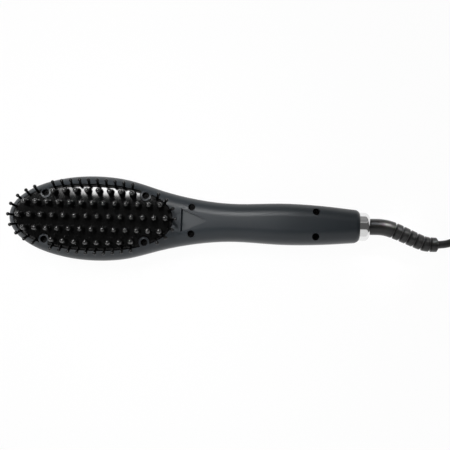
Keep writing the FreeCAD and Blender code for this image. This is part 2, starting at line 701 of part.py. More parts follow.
# Control panel in the back, with holes for the window and the buttons
panel_body = rounded_block("panel_body", -size("panel_gap"), size("panel_recess"), size("wall"))
panel_flange = rounded_block(
    "panel_flange_block", size("panel_flange"), size("wall"), size("wall") + size("panel_flange_height"),
)
window_hole = block("window_hole", "window_length", "window_width", "head_height", ("window_x", 0, 0))


def button_hole(name, radius, x):
    return rod(name, f"{radius} + fit_gap", "head_height", (x, 0, 0))


panel = less(
    "panel", joined("panel_blank", panel_body, panel_flange), window_hole,
    button_hole("up_hole", "temperature_radius", "up_x"),
    button_hole("down_hole", "temperature_radius", "down_x"),
    button_hole("power_hole", "power_radius", "power_x"),
)
piece(panel, "control_panel")
window = block(
    "window", "window_length", "window_width", "wall + panel_flange_height - panel_recess",
    ("window_x", 0, "panel_recess"),
)
piece(window, "display_window")


def button(name, radius, x):
    """A round cap with a dished face and a flange behind the panel."""
    rest = "wall + panel_flange_height + fit_gap"
    cap = rod(name + "_cap", radius, f"{rest} - button_recess", (x, 0, "button_recess"))
    flange = rod(name + "_flange", f"{radius} + button_flange", "button_flange_height", (x, 0, rest))
    dish = bind(doc.addObject("Part::Sphere", name + "_dish"), Radius="button_dish")
    place(dish, (x, 0, "button_recess + button_dish_depth - button_dish"))
    return piece(less(name + "_body", joined(name + "_blank", cap, flange), dish), name)


def plunger(name, x):
    """The plunger of a tact switch, which rides with its button."""
    low = "wall + panel_flange_height + fit_gap + button_flange_height"
    high = "board_height - switch_height + plunger_reach"
    return piece(rod(name + "_rod", "plunger_radius", f"{high} - ({low})", (x, 0, low)), name)


button("power_button", "power_radius", "power_x")
plunger("power_plunger", "power_x")
button("temperature_up_button", "temperature_radius", "up_x")
plunger("temperature_up_plunger", "up_x")
button("temperature_down_button", "temperature_radius", "down_x")
plunger("temperature_down_plunger", "down_x")

# Cord swivel at the end of the handle


def turned(name, radius, start, end):
    """A round bar on the swivel's axis."""
    return rod(name, radius, f"({end}) - ({start})", (start, 0, "swivel_height"), ALONG_X)


def rounded_ring():
    """The ring round the cord's exit, rounded over at the cord, before the handle is cut out of it."""
    length, axis = size("ring_seat") + size("ring_length"), Vec(1, 0, 0)
    centre = Vec(size("handle_end") - size("ring_seat"), 0, size("swivel_height"))
    solid = Part.makeCylinder(size("ring_radius"), length, centre, axis)
    rim = [e for e in solid.Edges if e.BoundBox.XMin > centre.x + length / 2]
    solid = solid.makeFillet(size("ring_round"), rim)
    return solid.cut(Part.makeCylinder(size("ring_bore_radius"), length, centre, axis))


piece(less("ring", shaped("ring_blank", rounded_ring()), outer), "cord_ring")
BUSH_START = "(handle_end - wall - bush_flange_length)"
bush_blank = joined(
    "bush_blank", turned("bush_body", "bush_radius", BUSH_START, "handle_end"),
    turned("bush_flange", "bush_flange_radius", BUSH_START, "handle_end - wall"),
)
bush_bore = turned("bush_bore", "core_radius + running_gap", "handle_end - 2 * overrun", "handle_end + overrun")
piece(less("bush", bush_blank, bush_bore), "swivel_bush")
CORE_FACE = f"({BUSH_START} - fit_gap)"
CORE_BACK = f"({CORE_FACE} - core_flange_length)"
CORE_TAIL = f"({CORE_BACK} - core_tail_length)"
core = joined(
    "core", turned("core_shaft", "core_radius", CORE_FACE, "handle_end + relief_gap"),
    turned("core_flange", "core_flange_radius", CORE_BACK, CORE_FACE),
    turned("core_tail", "core_tail_radius", CORE_TAIL, CORE_BACK),
)
piece(core, "swivel_core")
slip_rings, contacts = [], []
CONTACT_FLOOR = "swivel_height - slip_ring_radius - fit_gap - contact_thickness"
for step in (0, 1):
    low = f"({CORE_TAIL} + slip_ring_inset + {step} * slip_ring_spacing)"
    band = turned(f"slip_band_{step}", "slip_ring_radius", low, f"{low} + slip_ring_width")
    hole = turned(f"slip_hole_{step}", "core_tail_radius", low, f"{low} + slip_ring_width")
    slip_rings.append(less(f"slip_ring_{step}", band, hole))
    contacts.append(block(
        f"contact_{step}", "slip_ring_width", "contact_width", "contact_thickness",
        (f"{low} + slip_ring_width / 2", 0, CONTACT_FLOOR),
    ))
piece(set_of("slip_ring_set", *slip_rings), "slip_rings")
piece(set_of("contact_set", *contacts), "contact_springs")
holder = block(
    "holder", "holder_length", "holder_width", f"{CONTACT_FLOOR} - wall",
    (f"{CORE_TAIL} + slip_ring_inset + (slip_ring_spacing + slip_ring_width) / 2", 0, "wall"),
)
piece(holder, "contact_holder")


# Cords and wires: straight runs joined by arcs as large as the runs allow
ARC_SHARE = 0.45


def route_wire(route, name=None):
    """A path through a route's points, with its corners rounded."""
    points = [Vec(*point) for point in route]
    edges, radii, last = [], [], points[0]
    for before, corner, after in zip(points, points[1:], points[2:]):
        into, out = corner - before, after - corner
        turn = into.getAngle(out)
        run = ARC_SHARE * min(into.Length, out.Length)
        start, end = corner - into.normalize() * run, corner + out.normalize() * run
        radius = run / math.tan(turn / 2)
        inward = (out - into).normalize()
        middle = corner + inward * (radius / math.cos(turn / 2) - radius)
        edges += [Part.makeLine(last, start), Part.Arc(start, middle, end).toShape()]
        radii.append(radius)
        last = end
    edges.append(Part.makeLine(last, points[-1]))
    if name:
        print(f"{name} radii: " + ", ".join(f"{radius:.0f}" for radius in radii))
    return Part.Wire(edges)


def tube(path, radius):
    """A round tube along a path."""
    first = path.Edges[0]
    start, along = first.valueAt(first.FirstParameter), first.tangentAt(first.FirstParameter)
    ring = Part.Wire(Part.Circle(start, along, radius).toShape())
    solid = path.makePipeShell([ring], True, False)
    print(f"tube volume over section times length: {solid.Volume / (math.pi * radius ** 2 * path.Length):.4f}")
    return solid


def mirrored(route):
    return [(x, -y, z) for x, y, z in route]


def wire_pair(name, route, radius):
    """Two wires, one each side of the middle."""
    sides = [tube(route_wire(side), radius) for side in (route, mirrored(route))]
    return piece(shaped(name + "_pair", Part.makeCompound(sides)), name)


wire_pair("heater_leads", HEATER_LEAD_ROUTE, size("lead_radius"))
wire_pair("mains_leads", MAINS_LEAD_ROUTE, size("lead_radius"))
piece(shaped("sensor_wire", tube(route_wire(SENSOR_LEAD_ROUTE), size("sensor_lead_radius"))), "sensor_lead")


def place_on(path, distance):
    """A point of a path and the direction there, a distance along it."""
    for edge in path.Edges:
        if distance <= edge.Length:
            where = edge.getParameterByLength(distance)
            return edge.valueAt(where), edge.tangentAt(where)
        distance -= edge.Length
    last = path.Edges[-1]
    return last.valueAt(last.LastParameter), last.tangentAt(last.LastParameter)


def strain_relief():
    """A smooth sleeve through the first bend, then ribs that taper along a thinner core."""
    path = route_wire(RELIEF_ROUTE, "strain relief")
    solid = tube(path, size("relief_core_radius"))
    sleeve = Part.Wire(path.Edges[:2])
    solid = solid.fuse(tube(sleeve, size("relief_radius")))
    pitch = (path.Length - sleeve.Length) / RELIEF_RIBS
    for step in range(RELIEF_RIBS):
        point, along = place_on(path, sleeve.Length + (step + 1) * pitch - size("rib_length"))
        thick = size("rib_radius") + (size("rib_end_radius") - size("rib_radius")) * step / (RELIEF_RIBS - 1)
        solid = solid.fuse(Part.makeCylinder(thick, size("rib_length"), point, along))
    return solid.removeSplitter()


piece(shaped("relief", strain_relief()), "strain_relief")
piece(shaped("cord_tube", tube(route_wire(CORD_ROUTE, "cord"), size("cord_radius"))), "mains_cord")

FLAT = Vec(math.cos(math.radians(COIL_HEADING)), math.sin(math.radians(COIL_HEADING)), 0)
SQUARE = Vec(-FLAT.y, FLAT.x, 0)
COIL_START = Vec(*CORD_ROUTE[-1]) + FLAT * (2 * size("cord_radius"))
COIL_MIDDLE = COIL_START - SQUARE * size("coil_radius")


def coil_points():
    """The ends of the coil's half turns: in and out again by half a pitch, up a layer at each reversal."""
    radius, height, inwards, since, points = size("coil_radius"), 0.0, -1, 0, []
    for step in range(COIL_HALF_TURNS + 1):
        side = 1 if step % 2 == 0 else -1
        points.append(COIL_MIDDLE + SQUARE * (side * radius) + Vec(0, 0, height))
        if since == LAYER_HALF_TURNS:
            height += size("layer_pitch")
            inwards, since = -inwards, 0
        else:
            radius += inwards * size("coil_pitch") / 2
            since += 1
    return points


def coil_path():
    """Half circles from point to point, with a straight stub of one diameter at each end."""
    points, stub = coil_points(), FLAT * (2 * size("cord_radius"))
    edges = [Part.makeLine(points[0] - stub, points[0])]
    for step, (start, end) in enumerate(zip(points, points[1:])):
        ahead = FLAT if step % 2 == 0 else -FLAT
        middle = (start + end) * 0.5 + ahead * ((end - start).Length / 2)
        edges.append(Part.Arc(start, middle, end).toShape())
    edges.append(Part.makeLine(points[-1], points[-1] + stub))
    return Part.Wire(edges)


def least_gap(path, radius):
    """The least clear space between turns, measured on points of the middle line."""
    step = radius / 2
    points = path.discretize(Distance=step)
    apart = int(4 * radius * math.pi / step)
    return min(
        (one - two).Length - 2 * radius
        for index, one in enumerate(points) for two in points[index + apart:]
    )


coil = coil_path()
print(f"coil ends at {coil.Edges[-1].valueAt(coil.Edges[-1].LastParameter)}")
print(f"coil length {coil.Length:.0f}, least gap between turns {least_gap(coil, size('cord_radius')):.2f}")
piece(shaped("coil_tube", tube(coil, size("cord_radius"))), "cord_coil")
piece(shaped("tail_tube", tube(route_wire(TAIL_ROUTE, "tail"), size("cord_radius"))), "cord_tail")


def tie_band():
    """A strap round all the turns on the side of the coil nearest the handle."""
    thick, gap, cord = size("tie_thickness"), size("tie_gap"), size("cord_radius")
    bundle = LAYER_HALF_TURNS * size("coil_pitch") / 2 + 2 * cord
    layers = COIL_HALF_TURNS // (LAYER_HALF_TURNS + 1)
    tall = layers * size("layer_pitch") + 2 * cord + 2 * size("tie_lift")
    low = Vec(COIL_MIDDLE.x - size("coil_radius") - cord - gap, COIL_MIDDLE.y - size("tie_width") / 2, thick)
    inside = Part.makeBox(bundle + 2 * gap, size("tie_width"), tall, low)
    outside = Part.makeBox(
        bundle + 2 * gap + 2 * thick, size("tie_width"), tall + 2 * thick, low - Vec(thick, 0, thick),
    )
    return outside.cut(inside)


piece(shaped("tie", tie_band()), "cord_tie")


def plug_profile(width, thickness, along):
    """A rectangle across the plug's axis."""
    corners = [(-1, -1), (1, -1), (1, 1), (-1, 1)]
    points = [Vec(along, side * width / 2, lift * thickness / 2) for side, lift in corners]
    return Part.makePolygon([*points, points[0]])


def flat_plug():
    """A flat two-pin plug body that widens from its neck to its face."""
    neck, length = size("plug_neck_length"), size("plug_length")
    body = Part.makeLoft([
        plug_profile(size("plug_rear_width"), size("plug_rear_thickness"), neck),
        plug_profile(size("plug_width"), size("plug_thickness"), neck + length),
    ], True)
    long_edges = [e for e in body.Edges if e.BoundBox.XLength > length / 2]
    body = body.makeFillet(size("plug_rear_thickness") / 3, long_edges)
    return body.fuse(Part.makeCylinder(size("plug_neck_radius"), neck, Vec(), Vec(1, 0, 0)))


PLUG_PLACE = FreeCAD.Placement(Vec(*TAIL_ROUTE[-1]), FreeCAD.Rotation(Vec(0, 0, 1), PLUG_HEADING))
plug_body = piece(shaped("plug", flat_plug()), "plug_body")
plug_body.Placement = PLUG_PLACE
PLUG_FACE = size("plug_neck_length") + size("plug_length")
plug_pins = piece(shaped("plug_pin_pair", Part.makeCompound([
    Part.makeCylinder(
        size("plug_pin_radius"), size("plug_pin_length"),
        Vec(PLUG_FACE, side * size("plug_pin_spacing") / 2, 0), Vec(1, 0, 0),
    )
    for side in (-1, 1)
])), "plug_pins")
plug_pins.Placement = PLUG_PLACE


def finish():
    """Check every object, then write each piece."""
    doc.recompute()
    for item in doc.Objects:
        if {"Invalid", "Error"} & set(item.State):
            raise RuntimeError(f"{item.Name} failed: {item.State}")
    for item in pieces:
        if item.Shape.isNull() or not item.Shape.isValid():
            raise RuntimeError(f"{item.Label} is not a valid shape")
    os.makedirs("parts", exist_ok=True)
    for item in pieces:
        item.Shape.exportStep(f"parts/{item.Label}.step")
        print(f"{item.Label}: {len(item.Shape.Solids)} solids, {item.Shape.Volume:.1f} mm3")


finish()
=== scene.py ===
# %% [markdown]
# # A heated straightening brush
# The brush lies on its back with its pins up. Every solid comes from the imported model, which is
# loaded as a fixed frame in metres. This lesson dresses it: the camera and the finishes first, then
# the cord, the head, the strain relief and the housing, and last the light.

# %% Load the frame
import bpy
import bmesh
import math
from mathutils import Matrix, Vector


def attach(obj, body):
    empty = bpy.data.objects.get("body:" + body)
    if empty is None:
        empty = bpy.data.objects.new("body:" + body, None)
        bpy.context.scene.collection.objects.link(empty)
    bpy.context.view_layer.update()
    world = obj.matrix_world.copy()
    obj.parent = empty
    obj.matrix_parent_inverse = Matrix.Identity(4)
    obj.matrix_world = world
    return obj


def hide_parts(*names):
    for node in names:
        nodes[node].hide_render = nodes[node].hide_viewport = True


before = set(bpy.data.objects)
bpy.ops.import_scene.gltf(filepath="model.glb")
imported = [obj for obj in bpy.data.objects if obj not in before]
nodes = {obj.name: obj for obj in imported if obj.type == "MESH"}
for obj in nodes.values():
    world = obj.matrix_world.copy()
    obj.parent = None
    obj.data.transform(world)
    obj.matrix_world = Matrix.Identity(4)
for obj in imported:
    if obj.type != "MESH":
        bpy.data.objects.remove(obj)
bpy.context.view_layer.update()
MM = 0.001

# %% [markdown]
# ## Camera
# The photograph looks almost straight down, a little from the lower side, with the brush tipped by
# a degree or two. A camera's matrix can be written as its three axes, so the tilt and the roll are
# two angles instead of an Euler triple that has to be guessed.

# %% Camera
VIEW_WIDTH = 348.75 * MM      # what the frame shows across, at half the brush's height
VIEW_DISTANCE = 790 * MM
VIEW_MIDDLE = Vector((99.6, -1.9, 12)) * MM
ELEVATION = math.radians(86)
ROLL = math.radians(1.8)


def add_camera():
    """A camera that looks at the middle of the view from its elevation, rolled about its axis."""
    right = Vector((1, 0, 0))
    up = Vector((0, math.sin(ELEVATION), math.cos(ELEVATION)))
    back = Vector((0, -math.cos(ELEVATION), math.sin(ELEVATION)))
    rolled_right = right * math.cos(ROLL) + up * math.sin(ROLL)
    rolled_up = up * math.cos(ROLL) - right * math.sin(ROLL)
    camera = bpy.data.objects.new("camera", bpy.data.cameras.new("camera"))
    camera.data.angle = 2 * math.atan(VIEW_WIDTH / 2 / VIEW_DISTANCE)
    turn = Matrix((rolled_right, rolled_up, back)).transposed().to_4x4()
    camera.matrix_world = Matrix.Translation(VIEW_MIDDLE + back * VIEW_DISTANCE) @ turn
    bpy.context.scene.collection.objects.link(camera)
    bpy.context.scene.camera = camera
    return camera


camera = add_camera()
print(f"camera angle {math.degrees(camera.data.angle):.1f} degrees")

# %% [markdown]
# ## Small helpers for materials
# Each finish is a Principled BSDF fed by a few texture nodes on Object coordinates, so that the
# pattern keeps its real scale. Effects that several finishes share are node groups with named
# sockets: a moulded grain, and the faint marks that hands leave.

# %% Node helpers
def add_node(tree, kind, **values):
    """A node with its inputs set by name, or by number for a Math node's values."""
    node = tree.nodes.new(kind)
    for name, value in values.items():
        if name.startswith("in_"):
            node.inputs[int(name[3:])].default_value = value
        elif hasattr(node, name):
            setattr(node, name, value)
        else:
            node.inputs[name.replace("_", " ")].default_value = value
    return node


def shader_group(name, inputs, outputs):
    """An empty shader group with float inputs and outputs, and its two end nodes."""
    tree = bpy.data.node_groups.new(name, "ShaderNodeTree")
    for label, default in inputs.items():
        socket = tree.interface.new_socket(label, in_out="INPUT", socket_type="NodeSocketFloat")
        socket.default_value = default
    for label in outputs:
        tree.interface.new_socket(label, in_out="OUTPUT", socket_type="NodeSocketFloat")
    return tree, tree.nodes.new("NodeGroupInput"), tree.nodes.new("NodeGroupOutput")


# %% Shared effects
NOISE_MIDDLE = 0.5      # the mean of a noise texture


def moulded_grain():
    """A fine pebbled height, as spark-eroded moulds leave on plastic."""
    tree, inputs, outputs = shader_group("Moulded grain", {"Scale": 2500.0}, ["Height"])
    place = add_node(tree, "ShaderNodeTexCoord")
    cells = add_node(tree, "ShaderNodeTexVoronoi", feature="SMOOTH_F1")
    fine = add_node(tree, "ShaderNodeTexNoise", Detail=3.0)
    mix = add_node(tree, "ShaderNodeMath", operation="MULTIPLY")
    for texture in (cells, fine):
        tree.links.new(place.outputs["Object"], texture.inputs["Vector"])
        tree.links.new(inputs.outputs["Scale"], texture.inputs["Scale"])
    tree.links.new(cells.outputs["Distance"], mix.inputs[0])
    tree.links.new(fine.outputs[0], mix.inputs[1])
    tree.links.new(mix.outputs[0], outputs.inputs["Height"])
    return tree


def handling_marks():
    """A patchy value round its middle, for the roughness of a handled surface."""
    tree, inputs, outputs = shader_group(
        "Handling marks", {"Middle": 0.5, "Spread": 0.1, "Scale": 40.0}, ["Roughness", "Patch"],
    )
    place = add_node(tree, "ShaderNodeTexCoord")
    patches = add_node(tree, "ShaderNodeTexNoise", Detail=4.0, Roughness=0.6)
    swing = add_node(tree, "ShaderNodeMath", operation="SUBTRACT", in_1=NOISE_MIDDLE)
    spread = add_node(tree, "ShaderNodeMath", operation="MULTIPLY_ADD")
    tree.links.new(place.outputs["Object"], patches.inputs["Vector"])
    tree.links.new(inputs.outputs["Scale"], patches.inputs["Scale"])
    tree.links.new(patches.outputs[0], swing.inputs[0])
    tree.links.new(swing.outputs[0], spread.inputs[0])
    tree.links.new(inputs.outputs["Spread"], spread.inputs[1])
    tree.links.new(inputs.outputs["Middle"], spread.inputs[2])
    tree.links.new(spread.outputs[0], outputs.inputs["Roughness"])
    tree.links.new(patches.outputs[0], outputs.inputs["Patch"])
    return tree


GRAIN, MARKS = moulded_grain(), handling_marks()
print("shared effects:", GRAIN.name, "and", MARKS.name)

# %% [markdown]
# ## A recipe for plain finishes
# Plastics, rubbers, lacquers and metals differ in a handful of numbers: two shades that the patches
# run between, a roughness, how deep the grain is, and how metallic they are. One recipe makes them
# all, and numbers that are the same all over a surface stay on the shader's own sockets.

# %% One recipe
# A Mix node lists the sockets of all its data types, and these are the colour ones
MIX_FIRST, MIX_SECOND, MIX_RESULT = 6, 7, 2
GRAIN_STRENGTH = 0.6


def finish(name, dark, light, roughness, spread=0.06, patch_scale=40, grain_scale=2500, grain_depth=0.0,
           metallic=0.0, coat=0.0, specular=0.5):
    """A finish that runs between two shades, with patchy gloss and a moulded grain."""
    material = bpy.data.materials.new(name)
    material.use_nodes = True
    tree = material.node_tree
    shader = tree.nodes["Principled BSDF"]
    shader.inputs["Metallic"].default_value = metallic
    shader.inputs["Coat Weight"].default_value = coat
    shader.inputs["Specular IOR Level"].default_value = specular
    marks = add_node(
        tree, "ShaderNodeGroup", node_tree=MARKS, Middle=roughness, Spread=spread, Scale=patch_scale,
    )
    shade = add_node(tree, "ShaderNodeMix", data_type="RGBA")
    shade.inputs[MIX_FIRST].default_value = (*dark, 1)
    shade.inputs[MIX_SECOND].default_value = (*light, 1)
    tree.links.new(marks.outputs["Patch"], shade.inputs["Factor"])
    tree.links.new(shade.outputs[MIX_RESULT], shader.inputs["Base Color"])
    tree.links.new(marks.outputs["Roughness"], shader.inputs["Roughness"])
    if grain_depth:
        grain = add_node(tree, "ShaderNodeGroup", node_tree=GRAIN, Scale=grain_scale)
        bump = add_node(tree, "ShaderNodeBump", Strength=GRAIN_STRENGTH, Distance=grain_depth)
        tree.links.new(grain.outputs["Height"], bump.inputs["Height"])
        tree.links.new(bump.outputs["Normal"], shader.inputs["Normal"])
    return material


def grey(value, warm=0.0):
    """A near-neutral colour, warmer than grey or, below zero, cooler."""
    return value * (1 + warm), value, value * (1 - warm)


# %% Finishes that show
# Two shades, the roughness and its spread, the scale of the patches, the scale and depth of the grain
soft_touch = finish(
    "soft touch charcoal", grey(0.0148, -0.26), grey(0.02, -0.26), 0.41, 0.06, 25, 3200, 0.02 * MM,
)
plate_coat = finish(
    "glossy plate coat", grey(0.003), grey(0.005), 0.12, 0.04, 60, 1800, 0.002 * MM, specular=0.2,
)
tip_gloss = finish("pin tip gloss", grey(0.003), grey(0.006), 0.16, 0.03, 200, coat=0.7, specular=0.5)
nylon = finish("bristle nylon", grey(0.003), grey(0.006), 0.26, 0.06, 150, specular=0.35)
black_steel = finish("blackened steel", grey(0.004), grey(0.01), 0.38, 0.15, 300, metallic=1.0)
chrome = finish("polished chrome", grey(0.78), grey(0.84), 0.09, 0.03, 90, metallic=1.0)
relief_gloss = finish("strain relief rubber", grey(0.005), grey(0.009), 0.3, 0.06, 120, 2600, 0.006 * MM)
cord_rubber = finish("cord rubber", grey(0.008), grey(0.013), 0.42, 0.1, 90, 3000, 0.012 * MM)
plug_satin = finish("plug satin", grey(0.012), grey(0.018), 0.45, 0.1, 60, 2600, 0.02 * MM)
nickel = finish("nickel plate", grey(0.6, 0.03), grey(0.7, 0.03), 0.22, 0.1, 120, metallic=1.0)
piano_black = finish("piano black", grey(0.004), grey(0.006), 0.1, 0.05, 50, coat=0.5)
button_satin = finish("button satin", grey(0.09), grey(0.12), 0.42, 0.1, 120, 3000, 0.015 * MM)
print(f"{len(bpy.data.materials)} finishes for the outside")

# %% Finishes inside the shells
acetal = finish("black acetal", grey(0.02), grey(0.03), 0.45, 0.1, 80, 2600, 0.02 * MM)
natural = finish("natural plunger plastic", grey(0.45, 0.04), grey(0.52, 0.04), 0.5, 0.1, 150)
compound = finish("moulding compound", grey(0.02), grey(0.035), 0.6, 0.1, 200, 3000, 0.02 * MM)
aluminium = finish("bare aluminium", grey(0.55), grey(0.65), 0.35, 0.15, 150, metallic=1.0)
sheet_steel = finish("plain sheet steel", grey(0.4), grey(0.5), 0.38, 0.2, 100, metallic=1.0)
brass = finish("contact brass", (0.62, 0.42, 0.15), (0.72, 0.52, 0.2), 0.3, 0.15, 200, metallic=1.0)
glass_weave = finish(
    "woven glass sheet", (0.5, 0.36, 0.14), (0.62, 0.47, 0.22), 0.75, 0.1, 200, 1500, 0.05 * MM,
)
solder_mask = finish("green solder mask", (0.01, 0.1, 0.035), (0.015, 0.14, 0.05), 0.35, 0.12, 120)
silicone = finish("red silicone wire", (0.3, 0.015, 0.012), (0.4, 0.025, 0.02), 0.5, 0.1, 200)
print(f"{len(bpy.data.materials)} finishes with those inside")

# %% Display window
WINDOW_CLEARNESS = 0.7


def smoked_window():
    """A dark see-through cover for the display."""
    material = finish("smoked window", grey(0.02), grey(0.025), 0.06, 0.03, 60)
    shader = material.node_tree.nodes["Principled BSDF"]
    shader.inputs["Transmission Weight"].default_value = WINDOW_CLEARNESS
    return material


window_smoke = smoked_window()
print(f"{len(bpy.data.materials)} materials")

# %% [markdown]
# ## The mains cord
# The cord leaves the strain relief, curves across the table and is wound up for storage with its
# plug on top. Short straight tubes would show their joints, so one smooth NURBS spline carries all of
# it: the route's points, then the coil's turns from a formula that climbs a layer each time it reaches
# the inside or the outside.

# %% Cord route
CORD_RADIUS = 3 * MM          # the routes below are lists of millimetres
TUBE_BEVEL_STEPS, TUBE_LINE_STEPS, SPLINE_ORDER = 5, 4, 3
CORD_ROUTE = [
    (265, -11.9, 8.1), (270.6, -11.483, 7.564), (276.2, -9.9, 7), (281.9, -7, 6.2),
    (287.7, -3.36, 5.3), (293.4, 1.34, 4.3), (299.4, 7.34, 4.3),
]
TAIL_ROUTE = [
    (310.714, 12.997, 24.1), (317.7, 19.983, 24.1), (327.2, 25, 26.2), (338.2, 26.2, 28.6),
    (348.8, 23.4, 30.3), (357.8, 17, 31), (364.1, 8, 31.2), (367, -2.6, 31.4), (366, -13.5, 32),
    (361.4, -23.5, 33.2), (353.6, -31.3, 34.2), (343.6, -35.9, 34.2),
]
COIL_RADIUS, COIL_PITCH, LAYER_PITCH = 39.5 * MM, 8 * MM, 6.6 * MM
COIL_HALF_TURNS, LAYER_HALF_TURNS, POINTS_A_HALF_TURN = 18, 4, 12
COIL_HEADING = math.radians(45)


def route_points(route):
    """A route's points in metres."""
    return [Vector(point) * MM for point in route]


def coil_points():
    """Control points of the turns: half circles between ends that step in, up, and out again."""
    ahead = Vector((math.cos(COIL_HEADING), math.sin(COIL_HEADING), 0))
    across = Vector((-ahead.y, ahead.x, 0))
    middle = Vector(CORD_ROUTE[-1]) * MM + ahead * 2 * CORD_RADIUS - across * COIL_RADIUS
    ends, radius, height, inwards, since = [], COIL_RADIUS, 0.0, -1, 0
    for step in range(COIL_HALF_TURNS + 1):
        side = 1 if step % 2 == 0 else -1
        ends.append(middle + across * side * radius + Vector((0, 0, height)))
        if since == LAYER_HALF_TURNS:
            height, inwards, since = height + LAYER_PITCH, -inwards, 0
        else:
            radius, since = radius + inwards * COIL_PITCH / 2, since + 1
    points = []
    for step, (start, end) in enumerate(zip(ends, ends[1:])):
        heading = ahead if step % 2 == 0 else -ahead
        centre, arm = (start + end) / 2, (start - end) / 2
        for part in range(POINTS_A_HALF_TURN):
            turn = math.pi * part / POINTS_A_HALF_TURN
            points.append(centre + arm * math.cos(turn) + heading * arm.length * math.sin(turn))
    return points + [ends[-1]]


cord_line = route_points(CORD_ROUTE) + coil_points() + route_points(TAIL_ROUTE)
print(f"{len(cord_line)} points from the strain relief to the plug")

# %% Cord
def nurbs_curve(name, points, radius, material):
    """A round tube on one smooth spline with the points as its control points."""
    curve = bpy.data.curves.new(name, "CURVE")
    curve.dimensions, curve.bevel_depth, curve.bevel_resolution = "3D", radius, TUBE_BEVEL_STEPS
    curve.resolution_u, curve.use_fill_caps = TUBE_LINE_STEPS, True
    spline = curve.splines.new("NURBS")
    spline.points.add(len(points) - 1)
    for spot, point in zip(spline.points, points):
        spot.co = (*point, 1)
    spline.order_u, spline.use_endpoint_u = SPLINE_ORDER, True
    curve.materials.append(material)
    piece = bpy.data.objects.new(name, curve)
    bpy.context.scene.collection.objects.link(piece)
    return piece


def line_length(piece):
    """The length of a curve's own middle line."""
    depth, piece.data.bevel_depth = piece.data.bevel_depth, 0
    mesh = bpy.data.meshes.new_from_object(piece.evaluated_get(bpy.context.evaluated_depsgraph_get()))
    piece.data.bevel_depth = depth
    spots = [vertex.co.copy() for vertex in mesh.vertices]
    bpy.data.meshes.remove(mesh)
    return sum((b - a).length for a, b in zip(spots, spots[1:]))


cord = nurbs_curve("wound_mains_cord", cord_line, CORD_RADIUS, cord_rubber)
CORD_LENGTH = line_length(cord)
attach(cord, "cord_swivel")
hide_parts("mains_cord", "cord_coil", "cord_tail")
print(f"cord length {CORD_LENGTH:.3f} m")

# %% [markdown]
# ## Geometry Nodes for what repeats
# Pins and bristles are copies of a master shape set out by a rule, and the strain relief's ribs follow
# a line. A loop could place them too, but a node tree keeps the rule and its sizes together. It makes
# the copies real and gives them their material, and the result is taken as a plain mesh.

# %% Trees and their results
SOCKET_KINDS = {bpy.types.Object: "NodeSocketObject", bpy.types.Material: "NodeSocketMaterial"}


def nodes_tree(name, **inputs):
    """An empty geometry tree with named inputs: floats from numbers, otherwise by their kind."""
    tree = bpy.data.node_groups.new(name, "GeometryNodeTree")
    for label, value in inputs.items():
        kind = SOCKET_KINDS.get(type(value), "NodeSocketFloat")
        tree.interface.new_socket(label, in_out="INPUT", socket_type=kind)
    tree.interface.new_socket("Geometry", in_out="OUTPUT", socket_type="NodeSocketGeometry")
    return tree, tree.nodes.new("NodeGroupInput"), tree.nodes.new("NodeGroupOutput")


def math_node(tree, operation, first, second=None):
    """A Math node whose values are sockets or numbers."""
    node = add_node(tree, "ShaderNodeMath", operation=operation)
    for socket, value in zip(node.inputs, (first, second)):
        if isinstance(value, bpy.types.NodeSocket):
            tree.links.new(value, socket)
        elif value is not None:
            socket.default_value = value
    return node.outputs[0]


def end_tree(tree, outputs, instances, material):
    """Real copies, smooth, with their material: the last nodes of every tree."""
    real = add_node(tree, "GeometryNodeRealizeInstances")
    smooth = add_node(tree, "GeometryNodeSetShadeSmooth")
    paint = add_node(tree, "GeometryNodeSetMaterial")
    tree.links.new(instances, real.inputs[0])
    tree.links.new(real.outputs[0], smooth.inputs[0])
    tree.links.new(smooth.outputs[0], paint.inputs["Geometry"])
    tree.links.new(material, paint.inputs["Material"])
    tree.links.new(paint.outputs[0], outputs.inputs[0])


def grow(name, tree, **inputs):
    """The tree's result with these inputs, as a plain mesh object at the origin."""
    carrier = bpy.data.objects.new(name + "_carrier", bpy.data.meshes.new(name + "_carrier"))
    bpy.context.scene.collection.objects.link(carrier)
    modifier = carrier.modifiers.new("grow", "NODES")
    modifier.node_group = tree
    for item in tree.interface.items_tree:
        if item.in_out == "INPUT":
            modifier[item.identifier] = inputs[item.name]
    done = carrier.evaluated_get(bpy.context.evaluated_depsgraph_get())
    mesh = bpy.data.meshes.new_from_object(done)
    mesh.name = name
    bpy.data.objects.remove(carrier)
    piece = bpy.data.objects.new(name, mesh)
    bpy.context.scene.collection.objects.link(piece)
    return piece


# %% Turned shapes
def lathe(name, profile, sides):
    """A closed shape turned round Z from a profile of radius and height."""
    mesh, shape = bpy.data.meshes.new(name), bmesh.new()
    rings = []
    for radius, height in profile:
        if radius:
            turns = [2 * math.pi * side / sides for side in range(sides)]
            spots = [(radius * math.cos(turn), radius * math.sin(turn), height) for turn in turns]
        else:
            spots = [(0, 0, height)]
        rings.append([shape.verts.new(spot) for spot in spots])
    for low, high in zip(rings, rings[1:]):
        for side in range(sides):
            after = (side + 1) % sides
            corners = [
                low[side % len(low)], low[after % len(low)],
                high[after % len(high)], high[side % len(high)],
            ]
            shape.faces.new(list(dict.fromkeys(corners)))
    bmesh.ops.recalc_face_normals(shape, faces=shape.faces)
    shape.to_mesh(mesh)
    shape.free()
    piece = bpy.data.objects.new(name, mesh)
    bpy.context.scene.collection.objects.link(piece)
    return piece


def arc_profile(radius, height, start, end, steps):
    """Points of an arc round the axis point at a height, from one angle above level to another."""
    angles = [start + (end - start) * step / steps for step in range(steps + 1)]
    return [(radius * math.cos(a), height + radius * math.sin(a)) for a in angles]


# %% [markdown]
# ## Heated pins
# Each pin is a lacquered metal cone with a round heat-proof tip. Five rows stand on the crowned
# plate, every other one shifted by half a step. An Array modifier would keep them in one plane, so a
# tree draws each row as a line of points, bows the outer two, lifts the points on to the crown and
# puts a pin on each.

